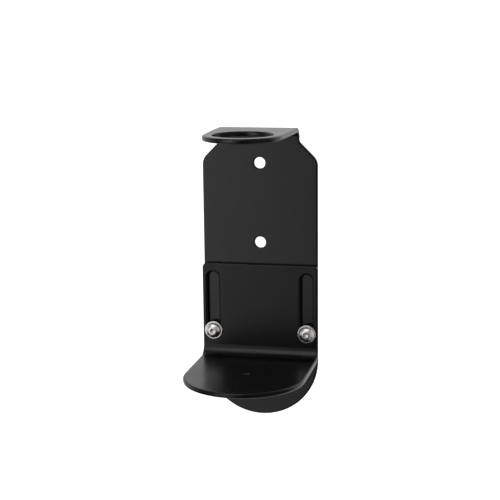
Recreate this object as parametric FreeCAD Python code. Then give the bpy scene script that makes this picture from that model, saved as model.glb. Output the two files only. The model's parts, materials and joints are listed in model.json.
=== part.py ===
import FreeCAD, Part
import math
import os

V = FreeCAD.Vector

# Wall holder: a back plate bent forward into a ring at the top, and an L-shaped shelf bracket that
# slides on two clamp screws in front of it.
# Row frame: the wall is the plane y = 0, the holder stands out towards -Y, +Z is up, and the origin
# is midway between the two wall holes. All sizes are in millimetres.

# --- back plate ------------------------------------------------------------------------------
SHEET = 3.0                 # thickness of both sheet parts
WIDTH = 70.0                # full width of the back plate
HOLE_PITCH = 48.0           # distance between the two wall holes
WALL_HOLE_D = 6.8
ARC_CENTRE_Z = -96.5        # centre of the semicircular bottom end
NECK_W = 48.0               # width above the shoulders, up to the top bend
SHOULDER_TOP_Z = 37.0       # where the 45 degree shoulders meet the neck
SHOULDER_INNER_R = 3.0
SHOULDER_OUTER_R = 8.0
FLANGE_TOP_Z = 45.5         # top face of the ring flange
TOP_BEND_R = 3.0            # inside radius of the bend under the flange
RING_HOLE_D = 35.0
AXIS_Y = -46.0              # the axis through the ring and the drain hole
RING_OUTER_R = 22.8         # round end of the flange, which narrows towards it from the bend
RING_OUTER_Y = -46.5        # centre of that round end

# --- shelf bracket ---------------------------------------------------------------------------
SLIDE_GAP = 0.05            # between the two sheets, so that they slide
BRACKET_W = 71.0            # it covers the edges of the back plate
BRACKET_TOP_Z = -37.0
BRACKET_CORNER_R = 3.0
SHELF_TOP_Z = -93.5
SHELF_BEND_R = 6.0          # inside radius of the bend above the shelf
SHELF_ARC_Y = -49.0         # centre of the shelf's round front
DRAIN_D = 3.0
SLOT_X = 28.8               # the slots and screws stand at plus and minus this
SLOT_W = 7.0
TRAVEL = 33.5               # how far the shelf can be lowered
END_PLAY = 0.15             # left between shank and slot at both ends of the travel

# --- edges -----------------------------------------------------------------------------------
OUTLINE_EDGE_R = 1.0        # rounding of the sheet's outline
HOLE_EDGE_R = 0.8           # rounding of the holes
SLOT_EDGE_R = 1.4           # rounding of the slots
DRAIN_TOP_R = 1.4           # the drain hole's upper edge is eased more than its lower one

# --- 5 mm button head screws and washers ----------------------------------------------------
SCREW_Z = -78.7
THREAD_D = 5.0              # tapped hole in the back plate
THREAD_CLEARANCE = 0.05     # radial, between screw and tapped hole
HEAD_D = 9.3
HEAD_H = 2.75
HEAD_RIM_H = 0.5            # straight rim below the dome
HEAD_FLAT_D = 4.6           # flat land around the socket
DOME_BULGE = 0.13           # rise of the dome above its chord, as a share of the chord
SOCKET_AF = 3.0             # hexagon socket across its flats
SOCKET_DEPTH = 1.6
SOCKET_TURN = {"left": 0, "right": 22}       # degrees, how each screw happens to be turned
TIP_GAP = 0.3               # the screw's tip stops this short of the wall
TIP_CHAMFER = 0.8
WASHER_D = 11.0
WASHER_BORE_D = 5.3
WASHER_T = 1.0
WASHER_EDGE_R = 0.3
STACK_GAP = 0.02            # between bracket, washer and screw head

# --- derived ---------------------------------------------------------------------------------
HALF = WIDTH / 2
NECK_HALF = NECK_W / 2
BRACKET_HALF = BRACKET_W / 2
BRACKET_BACK_Y = -SHEET - SLIDE_GAP
BRACKET_FRONT_Y = BRACKET_BACK_Y - SHEET
WASHER_BACK_Y = BRACKET_FRONT_Y - STACK_GAP
HEAD_BACK_Y = WASHER_BACK_Y - WASHER_T - STACK_GAP
SHANK_R = THREAD_D / 2 - THREAD_CLEARANCE
SLOT_SHIFT = SLOT_W / 2 - SHANK_R - END_PLAY
SLOT_LOW_Z = SCREW_Z + SLOT_SHIFT            # centre of the slot's lower end
SLOT_HIGH_Z = SCREW_Z + TRAVEL - SLOT_SHIFT  # centre of the slot's upper end
SHOULDER_SUM = NECK_HALF + SHOULDER_TOP_Z    # |x| + z along a shoulder
FAR = 200.0                                  # longer than any size of the holder


def arc(start, middle, end):
    return Part.Arc(start, middle, end).toShape()


def rounded_outline(corners):
    """Closed wire in the XZ plane. Each corner is (x, z, radius), radius 0 for a sharp one."""
    edges = []
    last = None
    first = None
    count = len(corners)
    for index, (x, z, radius) in enumerate(corners):
        here = V(x, 0, z)
        before = V(corners[index - 1][0], 0, corners[index - 1][1])
        after = V(corners[(index + 1) % count][0], 0, corners[(index + 1) % count][1])
        to_before = (before - here).normalize()
        to_after = (after - here).normalize()
        half = to_before.getAngle(to_after) / 2
        if radius > 0:
            reach = radius / math.tan(half)
            start = here + to_before * reach
            end = here + to_after * reach
            inwards = (to_before + to_after).normalize()
            middle = here + inwards * (radius / math.sin(half) - radius)
        else:
            start = here
            end = here
        if last is not None:
            edges.append(Part.LineSegment(last, start).toShape())
        if radius > 0:
            edges.append(arc(start, middle, end))
        if first is None:
            first = start
        last = end
    edges.append(Part.LineSegment(last, first).toShape())
    return Part.Wire(edges)


def through_y(wire):
    """The wire's face, drawn out both ways along Y."""
    wire.translate(V(0, -FAR, 0))
    return Part.Face(wire).extrude(V(0, 2 * FAR, 0))


def box(x_range, y_range, z_range):
    size = [high - low for low, high in (x_range, y_range, z_range)]
    return Part.makeBox(*size, V(x_range[0], y_range[0], z_range[0]))


def cylinder_y(radius, x, z):
    return Part.makeCylinder(radius, 2 * FAR, V(x, -FAR, z), V(0, 1, 0))


def cylinder_z(radius, x, y):
    return Part.makeCylinder(radius, 2 * FAR, V(x, y, -FAR), V(0, 0, 1))


def slot_y(width, x, low_z, high_z):
    """A round-ended slot through Y, its end arcs centred at low_z and high_z."""
    radius = width / 2
    body = box((x - radius, x + radius), (-FAR, FAR), (low_z, high_z))
    return body.fuse([cylinder_y(radius, x, low_z), cylinder_y(radius, x, high_z)]).removeSplitter()


def bent_sheet(width, back_y, leg_end_z, flat_z, inside_r, lies_up):
    """A sheet this wide: a vertical leg with its back face at back_y, bent forward at flat_z.

    lies_up is 1 when flat_z is the top face of a flange at the top of the leg, and -1 when it is
    the bottom face of a shelf at the foot of the leg.
    """
    front_y = back_y - SHEET
    outside_r = inside_r + SHEET
    inner_z = flat_z - lies_up * SHEET
    centre = V(0, back_y - outside_r, flat_z - lies_up * outside_r)
    diagonal = V(0, 1, lies_up).normalize()
    corner = [
        V(0, back_y, leg_end_z),
        V(0, back_y, centre.z),
        centre + diagonal * outside_r,
        V(0, centre.y, flat_z),
        V(0, -FAR, flat_z),
        V(0, -FAR, inner_z),
        V(0, centre.y, inner_z),
        centre + diagonal * inside_r,
        V(0, front_y, centre.z),
        V(0, front_y, leg_end_z),
    ]
    edges = [
        Part.LineSegment(corner[0], corner[1]).toShape(),
        arc(corner[1], corner[2], corner[3]),
        Part.LineSegment(corner[3], corner[4]).toShape(),
        Part.LineSegment(corner[4], corner[5]).toShape(),
        Part.LineSegment(corner[5], corner[6]).toShape(),
        arc(corner[6], corner[7], corner[8]),
        Part.LineSegment(corner[8], corner[9]).toShape(),
        Part.LineSegment(corner[9], corner[0]).toShape(),
    ]
    wire = Part.Wire(edges)
    wire.translate(V(-width / 2, 0, 0))
    return Part.Face(wire).extrude(V(width, 0, 0))


def round_front(half_width, centre_y):
    """Everything behind centre_y, and a half disc in front of it."""
    behind = box((-FAR, FAR), (centre_y, FAR), (-FAR, FAR))
    return behind.fuse(cylinder_z(half_width, 0, centre_y))


def narrowed_front(start_half, start_y, end_r, end_y):
    """Everything behind start_y, and in front of it sides that curve in smoothly to a round end."""
    ahead = start_y - end_y
    side_r = (start_half ** 2 + ahead ** 2 - end_r ** 2) / (2 * (start_half - end_r))
    side_centre = V(start_half - side_r, start_y, -FAR)
    end_centre = V(0, end_y, -FAR)
    start = V(start_half, start_y, -FAR)
    touch = end_centre + (end_centre - side_centre).normalize() * end_r
    middle = side_centre + ((start + touch) * 0.5 - side_centre).normalize() * side_r
    front = V(0, end_y - end_r, -FAR)
    left_start, left_middle, left_touch = [V(-p.x, p.y, p.z) for p in (start, middle, touch)]
    edges = [
        arc(start, middle, touch),
        arc(touch, front, left_touch),
        arc(left_touch, left_middle, left_start),
        Part.LineSegment(left_start, start).toShape(),
    ]
    ahead_part = Part.Face(Part.Wire(edges)).extrude(V(0, 0, 2 * FAR))
    behind = box((-FAR, FAR), (start_y, FAR), (-FAR, FAR))
    return behind.fuse(ahead_part)


def sharp_edges(shape, region=None):
    """Edges whose two faces meet at a real corner, and whose middle lies in the region."""
    found = []
    for edge in shape.Edges:
        faces = shape.ancestorsOfType(edge, Part.Face)
        if len(faces) != 2:
            continue
        middle = edge.valueAt((edge.FirstParameter + edge.LastParameter) / 2)
        if region is not None and not region.BoundBox.isInside(middle):
            continue
        normals = []
        for face in faces:
            u, v = face.Surface.parameter(middle)
            normals.append(face.normalAt(u, v))
        if normals[0].getAngle(normals[1]) > math.radians(20):
            found.append(edge)
    return found


def rounded(shape, radius, region=None):
    return shape.makeFillet(radius, sharp_edges(shape, region))


def hexagon_y(across_flats, x, y, z, depth, turned):
    """A hexagonal prism from y backwards, one corner turned this many degrees up from +X."""
    corner_r = across_flats / math.sqrt(3)
    corners = []
    for side in range(7):
        turn = math.radians(60 * side + turned)
        corners.append(V(x + corner_r * math.cos(turn), y, z + corner_r * math.sin(turn)))
    return Part.Face(Part.makePolygon(corners)).extrude(V(0, depth, 0))


def make_back_plate():
    blank = bent_sheet(WIDTH, 0, ARC_CENTRE_Z - FAR, FLANGE_TOP_Z, TOP_BEND_R, 1)
    low = ARC_CENTRE_Z - FAR
    outline = rounded_outline([
        (-HALF, low, 0),
        (HALF, low, 0),
        (HALF, SHOULDER_SUM - HALF, SHOULDER_OUTER_R),
        (NECK_HALF, SHOULDER_TOP_Z, SHOULDER_INNER_R),
        (NECK_HALF, FAR, 0),
        (-NECK_HALF, FAR, 0),
        (-NECK_HALF, SHOULDER_TOP_Z, SHOULDER_INNER_R),
        (-HALF, SHOULDER_SUM - HALF, SHOULDER_OUTER_R),
    ])
    above_arc = box((-FAR, FAR), (-FAR, FAR), (ARC_CENTRE_Z, FAR))
    round_end = above_arc.fuse(cylinder_y(HALF, 0, ARC_CENTRE_Z))
    plate = blank.common(through_y(outline)).common(round_end)
    bend_end_y = -SHEET - TOP_BEND_R
    flange = narrowed_front(NECK_HALF, bend_end_y, RING_OUTER_R, RING_OUTER_Y)
    plate = plate.common(flange).removeSplitter()
    plate = rounded(plate, OUTLINE_EDGE_R)
    holes = [cylinder_y(WALL_HOLE_D / 2, 0, side * HOLE_PITCH / 2) for side in (-1, 1)]
    ring_span = box((-FAR, FAR), (-FAR, bend_end_y), (FLANGE_TOP_Z - 2 * SHEET, FAR))
    ring_hole = cylinder_z(RING_HOLE_D / 2, 0, AXIS_Y).common(ring_span)
    plate = plate.cut(holes + [ring_hole])
    for hole in holes + [ring_hole]:
        plate = rounded(plate, HOLE_EDGE_R, hole)
    taps = [cylinder_y(THREAD_D / 2, side * SLOT_X, SCREW_Z) for side in (-1, 1)]
    return plate.cut(taps)


def make_shelf_bracket():
    shelf_under_z = SHELF_TOP_Z - SHEET
    blank = bent_sheet(BRACKET_W, BRACKET_BACK_Y, FAR, shelf_under_z, SHELF_BEND_R, -1)
    outline = rounded_outline([
        (-BRACKET_HALF, -FAR, 0),
        (BRACKET_HALF, -FAR, 0),
        (BRACKET_HALF, BRACKET_TOP_Z, BRACKET_CORNER_R),
        (-BRACKET_HALF, BRACKET_TOP_Z, BRACKET_CORNER_R),
    ])
    bracket = blank.common(through_y(outline))
    bracket = bracket.common(round_front(BRACKET_HALF, SHELF_ARC_Y)).removeSplitter()
    bracket = rounded(bracket, OUTLINE_EDGE_R)
    drain = cylinder_z(DRAIN_D / 2, 0, AXIS_Y)
    slots = [slot_y(SLOT_W, side * SLOT_X, SLOT_LOW_Z, SLOT_HIGH_Z) for side in (-1, 1)]
    bracket = bracket.cut(slots + [drain])
    for slot in slots:
        bracket = rounded(bracket, SLOT_EDGE_R, slot)
    around_drain = ((-DRAIN_D, DRAIN_D), (AXIS_Y - DRAIN_D, AXIS_Y + DRAIN_D))
    upper = box(*around_drain, (SHELF_TOP_Z - SHEET / 2, SHELF_TOP_Z + SHEET / 2))
    lower = box(*around_drain, (shelf_under_z - SHEET / 2, shelf_under_z + SHEET / 2))
    bracket = rounded(bracket, DRAIN_TOP_R, upper)
    return rounded(bracket, HOLE_EDGE_R, lower)


def revolved_y(profile, x, z):
    """Turn a closed (radius, y) profile about the line through x, z along Y."""
    points = [V(x + radius, y, z) for radius, y in profile]
    face = Part.Face(Part.makePolygon(points + points[:1]))
    return face.revolve(V(x, 0, z), V(0, 1, 0), 360)


def make_screw(x, turned):
    head_r = HEAD_D / 2
    rim_y = HEAD_BACK_Y - HEAD_RIM_H
    front_y = HEAD_BACK_Y - HEAD_H
    tip_y = -TIP_GAP
    land = V(x + HEAD_FLAT_D / 2, front_y, SCREW_Z)
    rim = V(x + head_r, rim_y, SCREW_Z)
    chord = rim - land
    bulge = V(chord.y, -chord.x, 0).normalize() * (chord.Length * DOME_BULGE)
    crown = (land + rim) * 0.5 + bulge
    lines = [
        V(x, front_y, SCREW_Z),
        land,
        rim,
        V(x + head_r, HEAD_BACK_Y, SCREW_Z),
        V(x + SHANK_R, HEAD_BACK_Y, SCREW_Z),
        V(x + SHANK_R, tip_y - TIP_CHAMFER, SCREW_Z),
        V(x + SHANK_R - TIP_CHAMFER, tip_y, SCREW_Z),
        V(x, tip_y, SCREW_Z),
    ]
    edges = []
    for start, end in zip(lines, lines[1:] + lines[:1]):
        if start == land:
            edges.append(arc(land, crown, rim))
        else:
            edges.append(Part.LineSegment(start, end).toShape())
    body = Part.Face(Part.Wire(edges)).revolve(V(x, 0, SCREW_Z), V(0, 1, 0), 360)
    return body.cut(hexagon_y(SOCKET_AF, x, front_y, SCREW_Z, SOCKET_DEPTH, turned))


def make_washer(x):
    ring = revolved_y([
        (WASHER_BORE_D / 2, WASHER_BACK_Y),
        (WASHER_D / 2, WASHER_BACK_Y),
        (WASHER_D / 2, WASHER_BACK_Y - WASHER_T),
        (WASHER_BORE_D / 2, WASHER_BACK_Y - WASHER_T),
    ], x, SCREW_Z)
    rims = []
    for edge in ring.Edges:
        round_edge = isinstance(edge.Curve, Part.Circle)
        if round_edge and abs(edge.Curve.Radius - WASHER_D / 2) < 1e-6:
            rims.append(edge)
    return ring.makeFillet(WASHER_EDGE_R, rims)


def main():
    os.makedirs("parts", exist_ok=True)
    pieces = {"back_plate": make_back_plate(), "shelf_bracket": make_shelf_bracket()}
    for name, x in (("left", -SLOT_X), ("right", SLOT_X)):
        pieces["clamp_screw_" + name] = make_screw(x, SOCKET_TURN[name])
        pieces["washer_" + name] = make_washer(x)
    for node, shape in pieces.items():
        solid = shape.Solids[0]
        assert len(shape.Solids) == 1 and solid.isValid(), node
        solid.exportStep("parts/" + node + ".step")
        print(node, round(solid.Volume), "mm3")


main()
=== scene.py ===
import bpy
import json
import math
from mathutils import Matrix, Vector

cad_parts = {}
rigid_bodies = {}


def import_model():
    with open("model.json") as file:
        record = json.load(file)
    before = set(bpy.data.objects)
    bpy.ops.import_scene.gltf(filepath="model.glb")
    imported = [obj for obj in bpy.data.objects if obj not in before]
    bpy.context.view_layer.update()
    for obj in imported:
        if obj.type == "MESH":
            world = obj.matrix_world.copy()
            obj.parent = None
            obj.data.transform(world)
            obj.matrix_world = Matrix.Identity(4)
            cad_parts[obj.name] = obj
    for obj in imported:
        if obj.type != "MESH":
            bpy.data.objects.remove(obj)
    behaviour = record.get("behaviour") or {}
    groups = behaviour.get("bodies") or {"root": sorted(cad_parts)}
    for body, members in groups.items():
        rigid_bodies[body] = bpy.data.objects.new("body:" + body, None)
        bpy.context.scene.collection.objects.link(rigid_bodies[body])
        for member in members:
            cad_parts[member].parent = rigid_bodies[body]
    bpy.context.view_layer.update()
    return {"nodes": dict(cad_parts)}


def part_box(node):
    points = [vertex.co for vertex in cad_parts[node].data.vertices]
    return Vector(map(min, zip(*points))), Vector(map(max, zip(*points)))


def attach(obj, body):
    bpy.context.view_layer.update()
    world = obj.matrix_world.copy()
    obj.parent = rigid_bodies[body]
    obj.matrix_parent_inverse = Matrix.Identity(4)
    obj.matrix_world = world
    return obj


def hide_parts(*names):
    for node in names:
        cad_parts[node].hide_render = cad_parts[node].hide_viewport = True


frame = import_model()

# ---------------------------------------------------------------- camera
CAMERA_AT = Vector((0.1628, -0.7473, 0.1218))
CAMERA_YAW = 0.2234          # radians, turned left of +Y
CAMERA_PITCH = 0.1949        # radians, looking down
CAMERA_ROLL = -0.0112
LENS_MM = 92.93
SENSOR_MM = 36.0

# ---------------------------------------------------------------- studio
FLOOR_Z = -0.45
FLOOR_SIZE = 6.0             # from the middle to each side
BACKGROUND = 1.05            # what the camera sees behind the object
AMBIENT = 0.05
# Soft lights that the object reflects: azimuth from the front (-Y), positive to the right,
# elevation, half-angle of the full-strength core, half-angle where it ends, level.
LIGHTS = {
    "wall_behind": (180, 10, 55, 85, 0.9),
    "overhead": (-12, 45, 10, 33, 1.65),
    "ceiling": (0, 90, 20, 50, 0.3),
    "softbox": (-27, -2, 12, 20, 1.55),
    "softbox_low": (-27, -17, 12, 25, 0.8),
    "left_side": (-98, 0, 14, 30, 0.7),
    "left_fill": (-58, 0, 12, 24, 0.32),
    "right_fill": (62, 5, 20, 50, 0.22),
    "floor_glow": (180, -80, 25, 45, 0.6),
}

# Soft lights for the bright steel parts only: azimuth, elevation, half-angle, strength.
STEEL_LIGHTS = {
    "steel_front": (20, 5, 66, 0.68),
    "steel_left": (-85, 10, 40, 0.4),
    "steel_right": (105, 0, 42, 0.55),
    "steel_top": (0, 80, 35, 0.45),
}

# The shelf bracket's coat is a little less glossy than the back plate's.
COAT_IOR = {"back_plate": 1.5, "shelf_bracket": 1.41}

# ---------------------------------------------------------------- screws, metres
SOCKET_TURN = {"left": 0.0, "right": 22.0}   # degrees, how each screw happens to be turned
AROUND = 96                  # points round a screw, a multiple of six
HEAD_H = 0.00275
LAND_R = 0.0023              # outer radius of the flat land round the socket
RIM_H = 0.0005               # straight rim below the dome
RIM_R = 0.00016              # small rounding at the head's rim and under it
DOME_BULGE = 0.13            # rise of the dome above its chord, as a share of the chord
DOME_STEPS = 14
SOCKET_AF = 0.003            # hexagon socket across its flats
SOCKET_DEPTH = 0.0016
SOCKET_LIP = 0.00012         # chamfer at the socket's mouth
DRILL_CONE = 0.0005          # depth of the conical drill mark in the socket's floor
DRILL_SHARE = 0.97           # the mark's radius, as a share of half the width across flats
THREAD_PITCH = 0.0008
THREAD_DEPTH = 0.00036
THREAD_STEPS = 10            # rings per turn of thread
THREAD_FLAT = 0.12           # flat at the crest and at the root, as a share of half a pitch
TIP_CHAMFER = 0.0008
THREAD_END_GAP = 0.00005     # least distance from the last ring of thread to the tip
UNDERCUT = 0.0005            # plain neck below the head
SHANK_R = 0.00245
SHARP_ANGLE = 32             # degrees; edges turning more than this are shaded as sharp


def make_camera():
    data = bpy.data.cameras.new("camera")
    data.lens = LENS_MM
    data.sensor_width = SENSOR_MM
    camera = bpy.data.objects.new("camera", data)
    bpy.context.scene.collection.objects.link(camera)
    forward = Vector((-math.sin(CAMERA_YAW) * math.cos(CAMERA_PITCH),
                      math.cos(CAMERA_YAW) * math.cos(CAMERA_PITCH),
                      -math.sin(CAMERA_PITCH)))
    right = Vector((math.cos(CAMERA_YAW), math.sin(CAMERA_YAW), 0))
    up = right.cross(forward)
    level = Matrix((right, up, -forward)).transposed()
    rolled = level @ Matrix.Rotation(CAMERA_ROLL, 3, "Z")
    camera.matrix_world = Matrix.Translation(CAMERA_AT) @ rolled.to_4x4()
    bpy.context.scene.camera = camera


# ---------------------------------------------------------------- shader helpers
def add(tree, kind, **values):
    node = tree.nodes.new(kind)
    for key, value in values.items():
        setattr(node, key, value)
    return node


def maths(tree, operation, a, b):
    node = add(tree, "ShaderNodeMath", operation=operation)
    for socket, value in zip(node.inputs, (a, b)):
        if isinstance(value, (int, float)):
            socket.default_value = value
        else:
            tree.links.new(value, socket)
    return node.outputs[0]


def ramp(tree, value, low, high, to_low, to_high, smooth=False):
    node = add(tree, "ShaderNodeMapRange")
    if smooth:
        node.interpolation_type = "SMOOTHSTEP"
    limits = {"From Min": low, "From Max": high, "To Min": to_low, "To Max": to_high}
    for name, number in limits.items():
        node.inputs[name].default_value = number
    tree.links.new(value, node.inputs["Value"])
    return node.outputs["Result"]


def noise(tree, where, scale, detail=2.0, roughness=0.5):
    node = add(tree, "ShaderNodeTexNoise")
    node.inputs["Scale"].default_value = scale
    node.inputs["Detail"].default_value = detail
    node.inputs["Roughness"].default_value = roughness
    tree.links.new(where, node.inputs["Vector"])
    return node.outputs["Fac"]


def bump(tree, height, distance, below=None):
    node = add(tree, "ShaderNodeBump")
    node.inputs["Strength"].default_value = 1.0
    node.inputs["Distance"].default_value = distance
    tree.links.new(height, node.inputs["Height"])
    if below is not None:
        tree.links.new(below, node.inputs["Normal"])
    return node.outputs["Normal"]


def blend_colours(tree, factor, first, second):
    node = add(tree, "ShaderNodeMix", data_type="RGBA")
    node.inputs[6].default_value = (*first, 1)
    node.inputs[7].default_value = (*second, 1)
    tree.links.new(factor, node.inputs[0])
    return node.outputs[2]


def new_material(name):
    material = bpy.data.materials.new(name)
    material.use_nodes = True
    tree = material.node_tree
    place = add(tree, "ShaderNodeTexCoord").outputs["Object"]
    return material, tree, tree.nodes["Principled BSDF"], place


# ---------------------------------------------------------------- materials
def powder_coat(name, ior):
    """Satin black: fine orange peel, and a faint unevenness of gloss."""
    material, tree, shader, place = new_material(name)
    cloud = noise(tree, place, 45, 3)
    grain = noise(tree, place, 2600, 2, 0.6)
    tree.links.new(blend_colours(tree, cloud, (0.0008, 0.0008, 0.0009), (0.0017, 0.0017, 0.0018)),
                   shader.inputs["Base Color"])
    uneven = maths(tree, "ADD", maths(tree, "MULTIPLY", cloud, 0.6), maths(tree, "MULTIPLY", grain, 0.4))
    tree.links.new(ramp(tree, uneven, 0.3, 0.7, 0.26, 0.32), shader.inputs["Roughness"])
    waves = bump(tree, noise(tree, place, 160, 2), 0.00001)
    peel = bump(tree, noise(tree, place, 900, 3, 0.55), 0.00001, below=waves)
    tree.links.new(bump(tree, grain, 0.000002, below=peel), shader.inputs["Normal"])
    shader.inputs["IOR"].default_value = ior
    return material


def stainless():
    """Bright turned stainless steel: fine scratches, faint smudges."""
    material, tree, shader, place = new_material("stainless_steel")
    smudge = noise(tree, place, 420, 3, 0.6)
    fine = noise(tree, place, 6000, 2)
    tree.links.new(blend_colours(tree, smudge, (0.56, 0.545, 0.54), (0.70, 0.685, 0.67)),
                   shader.inputs["Base Color"])
    tree.links.new(ramp(tree, smudge, 0.3, 0.7, 0.22, 0.32), shader.inputs["Roughness"])
    soft = bump(tree, smudge, 0.000015)
    tree.links.new(bump(tree, fine, 0.000002, below=soft), shader.inputs["Normal"])
    shader.inputs["Metallic"].default_value = 1.0
    return material


# ---------------------------------------------------------------- stage
def direction(azimuth, elevation):
    azimuth = math.radians(azimuth)
    elevation = math.radians(elevation)
    return (math.sin(azimuth) * math.cos(elevation),
            -math.cos(azimuth) * math.cos(elevation),
            math.sin(elevation))


def make_world():
    world = bpy.data.worlds.new("studio")
    bpy.context.scene.world = world
    world.use_nodes = True
    tree = world.node_tree
    shader = tree.nodes["Background"]
    ray = add(tree, "ShaderNodeTexCoord").outputs["Generated"]
    total = AMBIENT
    for azimuth, elevation, inner, outer, level in LIGHTS.values():
        facing = add(tree, "ShaderNodeVectorMath", operation="DOT_PRODUCT")
        facing.inputs[1].default_value = direction(azimuth, elevation)
        tree.links.new(ray, facing.inputs[0])
        light = ramp(tree, facing.outputs["Value"], math.cos(math.radians(outer)),
                     math.cos(math.radians(inner)), 0, level, True)
        total = maths(tree, "MAXIMUM", light, total)
    seen = add(tree, "ShaderNodeLightPath").outputs["Is Camera Ray"]
    mix = add(tree, "ShaderNodeMix", data_type="FLOAT")
    tree.links.new(seen, mix.inputs[0])
    tree.links.new(total, mix.inputs[2])
    mix.inputs[3].default_value = BACKGROUND
    tree.links.new(mix.outputs[0], shader.inputs["Strength"])
    shader.inputs["Color"].default_value = (1, 1, 1, 1)
    bpy.context.scene.view_settings.view_transform = "Standard"


def make_steel_lights():
    """Reflector cards held close to the screws, which the black sheet doesn't see."""
    steel_parts = bpy.data.collections.new("steel_parts")
    for obj in bpy.data.objects:
        if obj.type == "MESH" and obj.material_slots and obj.material_slots[0].material == steel:
            steel_parts.objects.link(obj)
    for name, (azimuth, elevation, half_angle, strength) in STEEL_LIGHTS.items():
        data = bpy.data.lights.new(name, "SUN")
        data.angle = math.radians(2 * half_angle)
        data.energy = strength
        light = bpy.data.objects.new(name, data)
        light.rotation_euler = Vector(direction(azimuth, elevation)).to_track_quat("Z", "Y").to_euler()
        light.visible_camera = False
        bpy.context.scene.collection.objects.link(light)
        light.light_linking.receiver_collection = steel_parts


def make_floor():
    mesh = bpy.data.meshes.new("floor")
    s = FLOOR_SIZE
    corners = [(-s, -s, FLOOR_Z), (s, -s, FLOOR_Z), (s, s, FLOOR_Z), (-s, s, FLOOR_Z)]
    mesh.from_pydata(corners, [], [(0, 1, 2, 3)])
    floor = bpy.data.objects.new("floor", mesh)
    bpy.context.scene.collection.objects.link(floor)
    material, _, shader, _ = new_material("floor")
    shader.inputs["Base Color"].default_value = (0.9, 0.9, 0.9, 1)
    shader.inputs["Roughness"].default_value = 0.9
    shader.inputs["Emission Color"].default_value = (1, 1, 1, 1)
    shader.inputs["Emission Strength"].default_value = 0.8
    mesh.materials.append(material)
    floor.visible_glossy = False
    floor.visible_diffuse = False


# ---------------------------------------------------------------- screws
def hexagon_radius(angle, across_flats):
    """Distance from the centre to a hexagon's side, with a corner at angle 0."""
    from_side = (angle + math.pi / 6) % (math.pi / 3) - math.pi / 6
    return across_flats / 2 / math.cos(math.pi / 6 - abs(from_side))


def head_profile(radius):
    """(radius, distance in front of the head's seat) from the land's edge to the seat."""
    land = Vector((LAND_R, HEAD_H))
    rim = Vector((radius, RIM_H))
    chord = rim - land
    rise = chord.length * DOME_BULGE
    outwards = Vector((-chord.y, chord.x)).normalized()
    if outwards.y < 0:
        outwards = -outwards
    points = []
    for step in range(DOME_STEPS + 1):
        t = step / DOME_STEPS
        points.append(land + chord * t + outwards * (rise * 4 * t * (1 - t)))
    points[-1] = Vector((radius - RIM_R * 0.3, RIM_H + RIM_R))
    points += [Vector((radius, RIM_H)), Vector((radius, RIM_R)), Vector((radius - RIM_R, 0))]
    return points


def make_screw(side):
    name = "clamp_screw_" + side
    low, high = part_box(name)
    centre_x = (low.x + high.x) / 2
    centre_z = (low.z + high.z) / 2
    head_r = (high.x - low.x) / 2
    seat_y = low.y + HEAD_H
    length = high.y - seat_y
    turn = math.radians(SOCKET_TURN[side])
    angles = [2 * math.pi * k / AROUND for k in range(AROUND)]
    rings = []

    def ring(radii, fronts):
        """One ring of points: radius and height in front of the seat for every angle."""
        points = []
        for a, r, f in zip(angles, radii, fronts):
            x = centre_x + r * math.cos(a + turn)
            z = centre_z + r * math.sin(a + turn)
            points.append((x, seat_y - f, z))
        rings.append(points)

    def round_ring(radius, front):
        ring([radius] * AROUND, [front] * AROUND)

    socket = [hexagon_radius(a, SOCKET_AF) for a in angles]
    mouth = [r + SOCKET_LIP for r in socket]
    floor_front = HEAD_H - SOCKET_DEPTH
    drill_r = SOCKET_AF / 2 * DRILL_SHARE
    for share, drop in ((0.02, 1.0), (0.5, 0.5), (0.97, 0.0)):     # from the cone's point outwards
        round_ring(drill_r * share, floor_front - DRILL_CONE * drop)
    ring(socket, [floor_front] * AROUND)
    ring(socket, [HEAD_H - SOCKET_LIP] * AROUND)
    ring(mouth, [HEAD_H] * AROUND)
    for radius, front in head_profile(head_r):
        round_ring(radius, front)
    round_ring(SHANK_R - THREAD_DEPTH * 0.5, 0)
    round_ring(SHANK_R - THREAD_DEPTH * 0.5, -UNDERCUT)
    count = int((length - UNDERCUT - THREAD_END_GAP) / THREAD_PITCH * THREAD_STEPS)
    for step in range(1, count + 1):
        along = UNDERCUT + step * THREAD_PITCH / THREAD_STEPS
        radii = []
        for a in angles:
            phase = (along / THREAD_PITCH - (a + turn) / (2 * math.pi)) % 1.0
            valley = abs(2 * phase - 1)
            flank = min(1.0, max(0.0, (valley - THREAD_FLAT) / (1 - 2 * THREAD_FLAT)))
            crest = SHANK_R - THREAD_DEPTH * flank
            chamfer = SHANK_R - max(0.0, along - (length - TIP_CHAMFER))
            radii.append(min(crest, chamfer))
        ring(radii, [-along] * AROUND)
    round_ring(SHANK_R - TIP_CHAMFER, -length)
    verts = [point for points in rings for point in points]
    faces = []
    for row in range(len(rings) - 1):
        for k in range(AROUND):
            after = (k + 1) % AROUND
            here = row * AROUND
            below = here + AROUND
            faces.append((here + k, below + k, below + after, here + after))
    faces.append(tuple(range(AROUND)))
    last = (len(rings) - 1) * AROUND
    faces.append(tuple(last + k for k in reversed(range(AROUND))))
    mesh = bpy.data.meshes.new("screw_" + side + "_detail")
    mesh.from_pydata(verts, [], faces)
    mesh.validate()
    mesh.update()
    for polygon in mesh.polygons:
        polygon.use_smooth = True
    mesh.set_sharp_from_angle(angle=math.radians(SHARP_ANGLE))
    screw = bpy.data.objects.new("screw_" + side + "_detail", mesh)
    bpy.context.scene.collection.objects.link(screw)
    mesh.materials.append(steel)
    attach(screw, "screw_" + side)
    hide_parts(name)


make_camera()
make_world()
make_floor()
steel = stainless()
coats = {name: powder_coat(name + "_coat", ior) for name, ior in COAT_IOR.items()}
for name, obj in frame["nodes"].items():
    for slot in obj.material_slots:
        slot.material = coats.get(name, steel)
for side in SOCKET_TURN:
    make_screw(side)
make_steel_lights()
